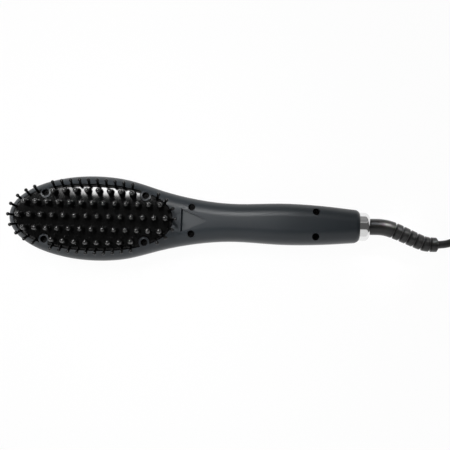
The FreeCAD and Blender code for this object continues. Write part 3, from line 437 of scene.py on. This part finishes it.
# %% Pin shapes
PIN_PITCH, ROW_PITCH, ROW_BOW, PIN_SHIFT = 8.5 * MM, 9.8 * MM, 1.4 * MM, -1 * MM
PLATE_CROWN, DOME_RADIUS = 25.9 * MM, 108 * MM
PIN_BASE, PIN_TOP, PIN_CONE, TIP_RADIUS = 2.5 * MM, 1.6 * MM, 10.6 * MM, 2.05 * MM
ROOT_FLARE, PIN_ROOT = 0.4 * MM, 1 * MM
TIP_RISE = math.sqrt(TIP_RADIUS ** 2 - PIN_TOP ** 2)
FLARE_SHARES = (0, 0.25, 0.5, 0.75, 1)
PIN_SIDES, TIP_STEPS = 24, 10


def pin_profile():
    """A cone that flares softly into the plate."""
    def cone(height):
        return PIN_BASE + (PIN_TOP - PIN_BASE) * height / PIN_CONE
    flare = [(cone(0) + ROOT_FLARE * (1 - share) ** 2, 2 * ROOT_FLARE * share) for share in FLARE_SHARES]
    return [
        (0, -PIN_ROOT), (cone(0) + ROOT_FLARE, -PIN_ROOT), *flare,
        (cone(PIN_CONE / 2), PIN_CONE / 2), (PIN_TOP, PIN_CONE), (0, PIN_CONE),
    ]


pin_master = lathe("pin_master", pin_profile(), PIN_SIDES)
tip_start = -math.acos(PIN_TOP / TIP_RADIUS)
tip_arc = arc_profile(TIP_RADIUS, PIN_CONE + TIP_RISE, tip_start, math.pi / 2, TIP_STEPS)[:-1]
tip_top = PIN_CONE + TIP_RISE + TIP_RADIUS
tip_master = lathe("tip_master", [(0, PIN_CONE), *tip_arc, (0, tip_top)], PIN_SIDES)
print(f"pin of {len(pin_master.data.polygons)} faces, tip of {len(tip_master.data.polygons)}")

# %% Places of the pins
PINS_IN_ROW = {-2: 8, -1: 13, 0: 14, 1: 13, 2: 8}
OUTER_ROW = max(PINS_IN_ROW)


def row_points(tree, value):
    """Every row as a straight line of points along X, about the middle of the plate."""
    rows = add_node(tree, "GeometryNodeJoinGeometry")
    step = add_node(tree, "ShaderNodeCombineXYZ")
    tree.links.new(value["Pitch"], step.inputs[0])
    for row, count in PINS_IN_ROW.items():
        line = add_node(tree, "GeometryNodeMeshLine", Count=count)
        start = add_node(tree, "ShaderNodeCombineXYZ")
        back = math_node(tree, "MULTIPLY", value["Pitch"], -(count - 1) / 2)
        tree.links.new(math_node(tree, "ADD", back, value["Shift"]), start.inputs[0])
        tree.links.new(math_node(tree, "MULTIPLY", value["Row pitch"], row), start.inputs[1])
        tree.links.new(start.outputs[0], line.inputs["Start Location"])
        tree.links.new(step.outputs[0], line.inputs["Offset"])
        tree.links.new(line.outputs[0], rows.inputs[0])
    return rows.outputs[0]


def row_bow(tree, value, spot):
    """How far a point of an outer row is drawn inwards: more, the further it is from the middle."""
    half = math_node(tree, "MULTIPLY", value["Pitch"], (PINS_IN_ROW[OUTER_ROW] - 1) / 2)
    along = math_node(tree, "DIVIDE", math_node(tree, "SUBTRACT", spot["X"], value["Shift"]), half)
    edge = math_node(tree, "MULTIPLY", value["Row pitch"], OUTER_ROW - 0.5)
    outer = math_node(tree, "GREATER_THAN", math_node(tree, "ABSOLUTE", spot["Y"]), edge)
    inward = math_node(tree, "MULTIPLY", math_node(tree, "SIGN", spot["Y"]), -1.0)
    reach = math_node(tree, "MULTIPLY", math_node(tree, "MULTIPLY", inward, value["Bow"]), outer)
    return math_node(tree, "MULTIPLY", math_node(tree, "MULTIPLY", along, along), reach)


def crown_height(tree, value, spot):
    """The height of the domed plate at a point."""
    aside = math_node(tree, "MULTIPLY", spot["Y"], spot["Y"])
    dome = math_node(tree, "MULTIPLY", value["Dome radius"], value["Dome radius"])
    height = math_node(tree, "SQRT", math_node(tree, "SUBTRACT", dome, aside))
    fall = math_node(tree, "SUBTRACT", value["Dome radius"], height)
    return math_node(tree, "SUBTRACT", value["Crown"], fall)


def moved(tree, points, amount, axis):
    """Points moved along one axis by an amount that may differ from point to point."""
    offset = add_node(tree, "ShaderNodeCombineXYZ")
    place = add_node(tree, "GeometryNodeSetPosition")
    tree.links.new(amount, offset.inputs[axis])
    tree.links.new(points, place.inputs["Geometry"])
    tree.links.new(offset.outputs[0], place.inputs["Offset"])
    return place.outputs[0]


print(f"{sum(PINS_IN_ROW.values())} places in {len(PINS_IN_ROW)} rows")

# %% Rows of pins
def rows_tree():
    """Rows of points, the outer two bowed, lifted on to the crown, each with a copy of the master."""
    tree, inputs, outputs = nodes_tree(
        "Pin rows", **{"Master": pin_master, "Pitch": 0.0, "Row pitch": 0.0, "Bow": 0.0, "Shift": 0.0,
                       "Crown": 0.0, "Dome radius": 0.0, "Finish": plate_coat},
    )
    value = inputs.outputs
    spot = add_node(tree, "ShaderNodeSeparateXYZ")
    tree.links.new(add_node(tree, "GeometryNodeInputPosition").outputs[0], spot.inputs[0])
    bowed = moved(tree, row_points(tree, value), row_bow(tree, value, spot.outputs), "Y")
    raised = moved(tree, bowed, crown_height(tree, value, spot.outputs), "Z")
    master = add_node(tree, "GeometryNodeObjectInfo")
    tree.links.new(value["Master"], master.inputs["Object"])
    spread = add_node(tree, "GeometryNodeInstanceOnPoints")
    tree.links.new(raised, spread.inputs["Points"])
    tree.links.new(master.outputs["Geometry"], spread.inputs["Instance"])
    end_tree(tree, outputs, spread.outputs[0], value["Finish"])
    return tree


pin_rows = rows_tree()
row_sizes = {
    "Pitch": PIN_PITCH, "Row pitch": ROW_PITCH, "Bow": ROW_BOW, "Shift": PIN_SHIFT, "Crown": PLATE_CROWN,
    "Dome radius": DOME_RADIUS,
}
pins = grow("flared_pins", pin_rows, Master=pin_master, Finish=plate_coat, **row_sizes)
tips = grow("round_pin_tips", pin_rows, Master=tip_master, Finish=tip_gloss, **row_sizes)
for piece, node, slot in ((pins, "heated_pins", "plate_coat"), (tips, "pin_tip_caps", "tip_plastic")):
    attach(piece, "housing")
    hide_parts(node)
for master in (pin_master, tip_master):
    bpy.data.objects.remove(master)
print(f"pins: {len(pins.data.polygons)} faces, tips: {len(tips.data.polygons)}")

# %% [markdown]
# ## Guard bristles
# Thin nylon bristles lean out of the gap round the plate and keep the hot pins off the skin. They
# follow the plate's outline, which is a little fuller than an ellipse, so the tree resamples that
# closed curve and turns each bristle to lean straight out from it.

# %% Bristle shape and outline
PLATE_LENGTH, PLATE_WIDTH, PLATE_SHIFT, PLATE_FULLNESS = 117 * MM, 46.4 * MM, -1.5 * MM, 2.2
GUARD_GAP, LIP_TOP, BRISTLES_AROUND, BRISTLE_LENGTH = 2 * MM, 23.9 * MM, 42, 9 * MM
BRISTLE_ROOT, BRISTLE_TOP, BRISTLE_BALL = 0.98 * MM, 0.95 * MM, 1.4 * MM
BRISTLE_LEAN = math.radians(24)
BRIDGE_X, BRIDGE_ROOM = 38.2 * MM, 4.15 * MM
OUTLINE_POINTS, BRISTLE_SIDES, BALL_STEPS = 192, 12, 7


def fuller(share):
    """A cosine or sine drawn outwards, which makes an ellipse a little fuller."""
    return math.copysign(abs(share) ** (2 / PLATE_FULLNESS), share)


def outline_curve(extra):
    """The plate's outline, widened by extra, as a closed curve at the height of the lip."""
    curve = bpy.data.curves.new("bristle_line", "CURVE")
    curve.dimensions = "3D"
    spline = curve.splines.new("POLY")
    spline.points.add(OUTLINE_POINTS - 1)
    spline.use_cyclic_u = True
    for step, spot in enumerate(spline.points):
        turn = math.pi + 2 * math.pi * step / OUTLINE_POINTS
        along = PLATE_SHIFT + fuller(math.cos(turn)) * (PLATE_LENGTH / 2 + extra)
        across = fuller(math.sin(turn)) * (PLATE_WIDTH / 2 + extra)
        spot.co = (along, across, LIP_TOP, 1)
    line = bpy.data.objects.new("bristle_line", curve)
    bpy.context.scene.collection.objects.link(line)
    return line


bristle_line = outline_curve(GUARD_GAP / 2)
ball_start = -math.acos(BRISTLE_TOP / BRISTLE_BALL)
ball = arc_profile(BRISTLE_BALL, BRISTLE_LENGTH, ball_start, math.pi / 2, BALL_STEPS)[:-1]
foot = [(0, -BRISTLE_ROOT), (BRISTLE_ROOT, -BRISTLE_ROOT)]
ball_top = (0, BRISTLE_LENGTH + BRISTLE_BALL)
bristle_master = lathe("bristle_master", [*foot, *ball, ball_top], BRISTLE_SIDES)
print(f"bristle of {len(bristle_master.data.polygons)} faces")

# %% Ring of bristles
UPWARD = (0, 0, 1)


def leaning(tree, lean):
    """The rotation that leans an upright master straight out from its curve."""
    outward = add_node(tree, "ShaderNodeVectorMath", operation="CROSS_PRODUCT")
    outward.inputs[1].default_value = UPWARD
    tree.links.new(add_node(tree, "GeometryNodeInputTangent").outputs[0], outward.inputs[0])
    tilt = add_node(tree, "ShaderNodeVectorMath", operation="SCALE")
    tree.links.new(outward.outputs[0], tilt.inputs[0])
    tree.links.new(math_node(tree, "TANGENT", lean), tilt.inputs["Scale"])
    direction = add_node(tree, "ShaderNodeVectorMath", operation="ADD")
    direction.inputs[1].default_value = UPWARD
    tree.links.new(tilt.outputs[0], direction.inputs[0])
    turn = add_node(tree, "FunctionNodeAlignRotationToVector", axis="Z")
    tree.links.new(direction.outputs[0], turn.inputs["Vector"])
    return turn.outputs[0]


def ring_tree():
    """Even points on a closed curve, none beside a bridge, each with a leaning copy of the master."""
    tree, inputs, outputs = nodes_tree(
        "Leaning ring", **{"Line": bristle_line, "Master": bristle_master, "Lean": 0.0,
                           "Bridge X": 0.0, "Bridge room": 0.0, "Finish": nylon},
    )
    value = inputs.outputs
    line = add_node(tree, "GeometryNodeObjectInfo")
    tree.links.new(value["Line"], line.inputs["Object"])
    even = add_node(tree, "GeometryNodeResampleCurve", mode="COUNT", Count=BRISTLES_AROUND)
    tree.links.new(line.outputs["Geometry"], even.inputs["Curve"])
    spot = add_node(tree, "ShaderNodeSeparateXYZ")
    tree.links.new(add_node(tree, "GeometryNodeInputPosition").outputs[0], spot.inputs[0])
    side = math_node(tree, "ABSOLUTE", spot.outputs["X"])
    aside = math_node(tree, "ABSOLUTE", math_node(tree, "SUBTRACT", side, value["Bridge X"]))
    free = math_node(tree, "GREATER_THAN", aside, value["Bridge room"])
    master = add_node(tree, "GeometryNodeObjectInfo")
    tree.links.new(value["Master"], master.inputs["Object"])
    spread = add_node(tree, "GeometryNodeInstanceOnPoints")
    tree.links.new(even.outputs[0], spread.inputs["Points"])
    tree.links.new(free, spread.inputs["Selection"])
    tree.links.new(master.outputs["Geometry"], spread.inputs["Instance"])
    tree.links.new(leaning(tree, value["Lean"]), spread.inputs["Rotation"])
    end_tree(tree, outputs, spread.outputs[0], value["Finish"])
    return tree


bristles = grow("leaning_bristles", ring_tree(), **{
    "Line": bristle_line, "Master": bristle_master, "Lean": BRISTLE_LEAN,
    "Bridge X": BRIDGE_X, "Bridge room": BRIDGE_ROOM, "Finish": nylon,
})
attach(bristles, "housing")
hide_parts("guard_bristles")
for helper in (bristle_line, bristle_master):
    bpy.data.objects.remove(helper)
print(f"bristles: {len(bristles.data.polygons)} faces")

# %% [markdown]
# ## The strain relief
# A rubber sleeve carries the cord out of the ring, smooth at first and then cut by grooves that let
# it bend. Each rib could be a ring of its own, but then they would have to be joined and turned one by
# one. Here a round profile is swept along the middle line and scaled point by point, and a scale that
# dips at every groove makes all the ribs at once.

# %% Strain relief sizes and line
RELIEF_ROUTE = [
    (204, 0, 12.5), (213, 0.15, 12.5), (222, 0.3, 12.5), (231, -2, 11.9), (250.5, -10.2, 9.6),
    (257.5, -12.2, 8.7), (265, -11.9, 8.1),
]
SLEEVE_RADIUS, RELIEF_END_RADIUS, RELIEF_CORE = 6.3 * MM, 5.6 * MM, 4.4 * MM
RELIEF_RIBS, RIB_PITCH, GROOVE_REACH, GROOVE_FLOOR = 6, 6.05 * MM, 1.0 * MM, 0.2 * MM
RELIEF_RINGS, RELIEF_SIDES, RELIEF_LINE_STEPS = 360, 40, 24

relief_line = nurbs_curve("relief_line", route_points(RELIEF_ROUTE), 0, relief_gloss)
relief_line.data.resolution_u = RELIEF_LINE_STEPS
RELIEF_LENGTH = line_length(relief_line)
print(f"strain relief {RELIEF_LENGTH / MM:.1f} mm long")

# %% Ribbed sleeve
def ribbed_radius(tree, value):
    """The sleeve's radius along its line: tapered past the start, and narrowed at every groove."""
    along = add_node(tree, "GeometryNodeSplineParameter").outputs["Length"]
    past = math_node(tree, "DIVIDE", math_node(tree, "SUBTRACT", along, value["Start"]), value["Pitch"])
    aside = math_node(tree, "ABSOLUTE", math_node(tree, "SUBTRACT", past, math_node(tree, "ROUND", past)))
    wall = add_node(tree, "ShaderNodeMapRange", interpolation_type="SMOOTHSTEP", To_Min=1.0, To_Max=0.0)
    tree.links.new(math_node(tree, "MULTIPLY", aside, value["Pitch"]), wall.inputs["Value"])
    tree.links.new(value["Groove floor"], wall.inputs["From Min"])
    tree.links.new(value["Groove reach"], wall.inputs["From Max"])
    # The first groove lies at the start, so none is cut half a pitch or more before it
    cut = math_node(tree, "MULTIPLY", wall.outputs[0], math_node(tree, "GREATER_THAN", past, -0.5))
    taper = add_node(tree, "ShaderNodeMapRange")
    for label, source in (("Value", along), ("From Min", value["Start"]), ("From Max", value["End"]),
                          ("To Min", value["Radius"]), ("To Max", value["End radius"])):
        tree.links.new(source, taper.inputs[label])
    depth = math_node(tree, "SUBTRACT", taper.outputs[0], value["Core radius"])
    return math_node(tree, "SUBTRACT", taper.outputs[0], math_node(tree, "MULTIPLY", depth, cut))


def ribbed_tree():
    """A round sleeve swept along a line."""
    tree, inputs, outputs = nodes_tree(
        "Ribbed sleeve", **{"Line": relief_line, "Radius": 0.0, "End radius": 0.0, "Core radius": 0.0,
                            "Start": 0.0, "End": 0.0, "Pitch": 0.0, "Groove reach": 0.0,
                            "Groove floor": 0.0, "Finish": relief_gloss},
    )
    value = inputs.outputs
    line = add_node(tree, "GeometryNodeObjectInfo")
    tree.links.new(value["Line"], line.inputs["Object"])
    even = add_node(tree, "GeometryNodeResampleCurve", mode="COUNT", Count=RELIEF_RINGS)
    tree.links.new(line.outputs["Geometry"], even.inputs["Curve"])
    section = add_node(tree, "GeometryNodeCurvePrimitiveCircle", Resolution=RELIEF_SIDES, Radius=1.0)
    sweep = add_node(tree, "GeometryNodeCurveToMesh", Fill_Caps=True)
    tree.links.new(even.outputs[0], sweep.inputs["Curve"])
    tree.links.new(section.outputs[0], sweep.inputs["Profile Curve"])
    tree.links.new(ribbed_radius(tree, value), sweep.inputs["Scale"])
    end_tree(tree, outputs, sweep.outputs[0], value["Finish"])
    return tree


relief = grow("ribbed_relief", ribbed_tree(), **{
    "Line": relief_line, "Finish": relief_gloss,
    "Radius": SLEEVE_RADIUS, "End radius": RELIEF_END_RADIUS, "Core radius": RELIEF_CORE,
    "Start": RELIEF_LENGTH - RELIEF_RIBS * RIB_PITCH, "End": RELIEF_LENGTH, "Pitch": RIB_PITCH,
    "Groove reach": GROOVE_REACH, "Groove floor": GROOVE_FLOOR,
})
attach(relief, "cord_swivel")
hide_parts("strain_relief")
bpy.data.objects.remove(relief_line)
print(f"strain relief: {len(relief.data.polygons)} faces")

# %% [markdown]
# ## Smooth skins over the solids
# A solid's mesh is loose triangles, which shade as flat facets. Where a rounded piece shows, a copy
# is welded, shaded smooth and kept sharp only at real edges. The shape stays as it was.

# %% Skins
SHARP_ANGLE = math.radians(28)
WELD = 0.002 * MM


def skin(node, name, material, body):
    """A welded, smooth copy of a solid that stands for it."""
    mesh = nodes[node].data.copy()
    mesh.name = name
    shape = bmesh.new()
    shape.from_mesh(mesh)
    bmesh.ops.remove_doubles(shape, verts=shape.verts, dist=WELD)
    shape.to_mesh(mesh)
    shape.free()
    if "custom_normal" in mesh.attributes:
        mesh.attributes.remove(mesh.attributes["custom_normal"])
    mesh.materials.clear()
    mesh.materials.append(material)
    mesh.shade_smooth()
    mesh.set_sharp_from_angle(angle=SHARP_ANGLE)
    piece = bpy.data.objects.new(name, mesh)
    bpy.context.scene.collection.objects.link(piece)
    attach(piece, body)
    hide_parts(node)
    return piece


skins = [
    skin("bristle_side_shell", "bristle_side_skin", soft_touch, "housing"),
    skin("control_side_shell", "control_side_skin", soft_touch, "housing"),
    skin("heating_plate", "plate_skin", plate_coat, "housing"),
    skin("cord_ring", "ring_skin", chrome, "housing"),
    skin("plug_body", "plug_skin", plug_satin, "cord_swivel"),
]
print(f"{len(skins)} skins, {sum(len(piece.data.polygons) for piece in skins)} faces")

# %% [markdown]
# ## The solids that stay
# Screws, buttons and all that the shells hide are hard pieces with plain shapes, so their solids are
# shown as they are. A table from each finish to its pieces is enough to dress them.

# %% Finishes on the solids that stay
DRESS = {
    nylon: ["guard_bristle_frame"],
    black_steel: [
        "head_screws", "neck_screws", "handle_screws", "plate_screws", "clamp_screws", "board_screws",
    ],
    aluminium: ["heater_bars", "thermal_fuse", "capacitor"],
    glass_weave: ["insulation_sheet"],
    sheet_steel: ["heater_clamp"],
    compound: ["thermistor", "triac", "display_module", "tact_switches"],
    solder_mask: ["control_board"],
    piano_black: ["control_panel"],
    window_smoke: ["display_window"],
    button_satin: ["power_button", "temperature_up_button", "temperature_down_button"],
    natural: ["power_plunger", "temperature_up_plunger", "temperature_down_plunger"],
    acetal: ["swivel_bush", "swivel_core", "contact_holder", "cord_tie"],
    brass: ["slip_rings", "contact_springs"],
    silicone: ["heater_leads", "sensor_lead", "mains_leads"],
    nickel: ["plug_pins"],
}
for material, names in DRESS.items():
    for name in names:
        nodes[name].data.materials.clear()
        nodes[name].data.materials.append(material)
print(f"{sum(map(len, DRESS.values()))} solids dressed")

# %% [markdown]
# ## The cord lying still
# The cord is drawn lying still, though the real one bends. It carries the plug and the tie.

print("cord drawn lying still")

# %% [markdown]
# ## Floor, light and background
# The photograph's ground is pure white. The floor is a pale matt plane that camera rays see nearly
# white, so a faint shadow stays, and the lamps can be set for the object alone. The key stands on the
# upper side behind a grid and fades towards the cord. A spot from the head's end puts a dot on every
# pin tip, a narrow one lights the bend of the strain relief, and a weak bare lamp on the lower side
# draws the streaks on the bristles. The surround is what the glossy pieces mirror.

# %% Floor
FLOOR_SIZE, FLOOR_DROP = 4.0, 0.05 * MM
FLOOR_SHADE, FLOOR_GLOW = 0.92, 0.965
WHITE = (1, 1, 1, 1)


def add_floor():
    """A wide pale plane just under the brush."""
    mesh = bpy.data.meshes.new("floor")
    half = FLOOR_SIZE / 2
    corners = [(-half, -half), (half, -half), (half, half), (-half, half)]
    mesh.from_pydata([(x, y, -FLOOR_DROP) for x, y in corners], [], [(0, 1, 2, 3)])
    material = bpy.data.materials.new("pale floor")
    material.use_nodes = True
    tree = material.node_tree
    tree.nodes.clear()
    matt = add_node(tree, "ShaderNodeBsdfDiffuse", Color=(FLOOR_SHADE, FLOOR_SHADE, FLOOR_SHADE, 1))
    glow = add_node(tree, "ShaderNodeEmission", Color=WHITE, Strength=1.0)
    rays = add_node(tree, "ShaderNodeLightPath").outputs
    mirrored = math_node(tree, "MAXIMUM", rays["Is Glossy Ray"], rays["Is Transmission Ray"])
    seen = math_node(tree, "MAXIMUM", rays["Is Camera Ray"], mirrored)
    mix = add_node(tree, "ShaderNodeMixShader")
    tree.links.new(math_node(tree, "MULTIPLY", seen, FLOOR_GLOW), mix.inputs[0])
    tree.links.new(matt.outputs[0], mix.inputs[1])
    tree.links.new(glow.outputs[0], mix.inputs[2])
    tree.links.new(mix.outputs[0], add_node(tree, "ShaderNodeOutputMaterial").inputs[0])
    mesh.materials.append(material)
    floor = bpy.data.objects.new("floor", mesh)
    bpy.context.scene.collection.objects.link(floor)


add_floor()
print(f"floor {FLOOR_SIZE:.0f} m wide")

# %% Lamps
def add_lamp(name, place, aim, width, height, spread, power):
    """A rectangular lamp behind a grid: with a narrow spread its light soon fades off the aim."""
    data = bpy.data.lights.new(name, "AREA")
    data.shape, data.size, data.size_y = "RECTANGLE", width, height
    data.spread, data.energy = math.radians(spread), power
    lamp = bpy.data.objects.new(name, data)
    turn = (Vector(aim) - Vector(place)).to_track_quat("-Z", "Y")
    lamp.matrix_world = Matrix.Translation(place) @ turn.to_matrix().to_4x4()
    bpy.context.scene.collection.objects.link(lamp)


# Places and sizes are in metres, the spread in degrees, the power in watts
add_lamp(
    "key_upper_side", place=(-0.09, 0.51, 0.88), aim=(0.03, 0, 0.02),
    width=0.155, height=0.2, spread=26, power=0.15,
)
add_lamp(
    "front_spot", place=(-0.42, 0.25, 0.85), aim=(0, 0, 0.02),
    width=0.2, height=0.2, spread=40, power=0.25,
)
add_lamp(
    "cord_exit_spot", place=(0.549, 0.67, 0.686), aim=(0.237, -0.003, 0.0125),
    width=0.03, height=0.03, spread=3, power=0.006,
)
add_lamp(
    "fill_lower_side", place=(-0.25, -0.6, 0.45), aim=(0.02, 0, 0.02),
    width=0.3, height=0.1, spread=180, power=0.4,
)
print(f"{len(bpy.data.lights)} lamps")

# %% World
# How bright the surround is, by how far a direction points to the upper side of the picture
SURROUND = [(-0.5, 0.76), (-0.36, 0.1), (0.43, 0.1), (0.52, 0.42), (0.66, 0.2), (0.9, 0.3)]


def add_world():
    """A white wall on the lower side, a dark ceiling where the camera hangs, a grey upper side."""
    world = bpy.data.worlds.new("studio")
    bpy.context.scene.world = world
    world.use_nodes = True
    tree = world.node_tree
    sky = tree.nodes["Background"]
    sky.inputs["Color"].default_value = WHITE
    side = add_node(tree, "ShaderNodeSeparateXYZ")
    share = add_node(tree, "ShaderNodeMapRange", From_Min=-1.0, From_Max=1.0)
    ramp = add_node(tree, "ShaderNodeValToRGB")
    stops = ramp.color_ramp.elements
    while len(stops) < len(SURROUND):
        stops.new(0.5)
    for stop, (place, glow) in zip(stops, SURROUND):
        stop.position, stop.color = (place + 1) / 2, (glow, glow, glow, 1)
    tree.links.new(add_node(tree, "ShaderNodeTexCoord").outputs["Generated"], side.inputs[0])
    tree.links.new(side.outputs[1], share.inputs["Value"])
    tree.links.new(share.outputs[0], ramp.inputs[0])
    # The camera itself sees white wherever the floor ends
    seen = add_node(tree, "ShaderNodeLightPath").outputs["Is Camera Ray"]
    tree.links.new(math_node(tree, "MAXIMUM", ramp.outputs[0], seen), sky.inputs["Strength"])


add_world()
bpy.context.scene.view_settings.view_transform = "Standard"
print(f"surround of {len(SURROUND)} shades")
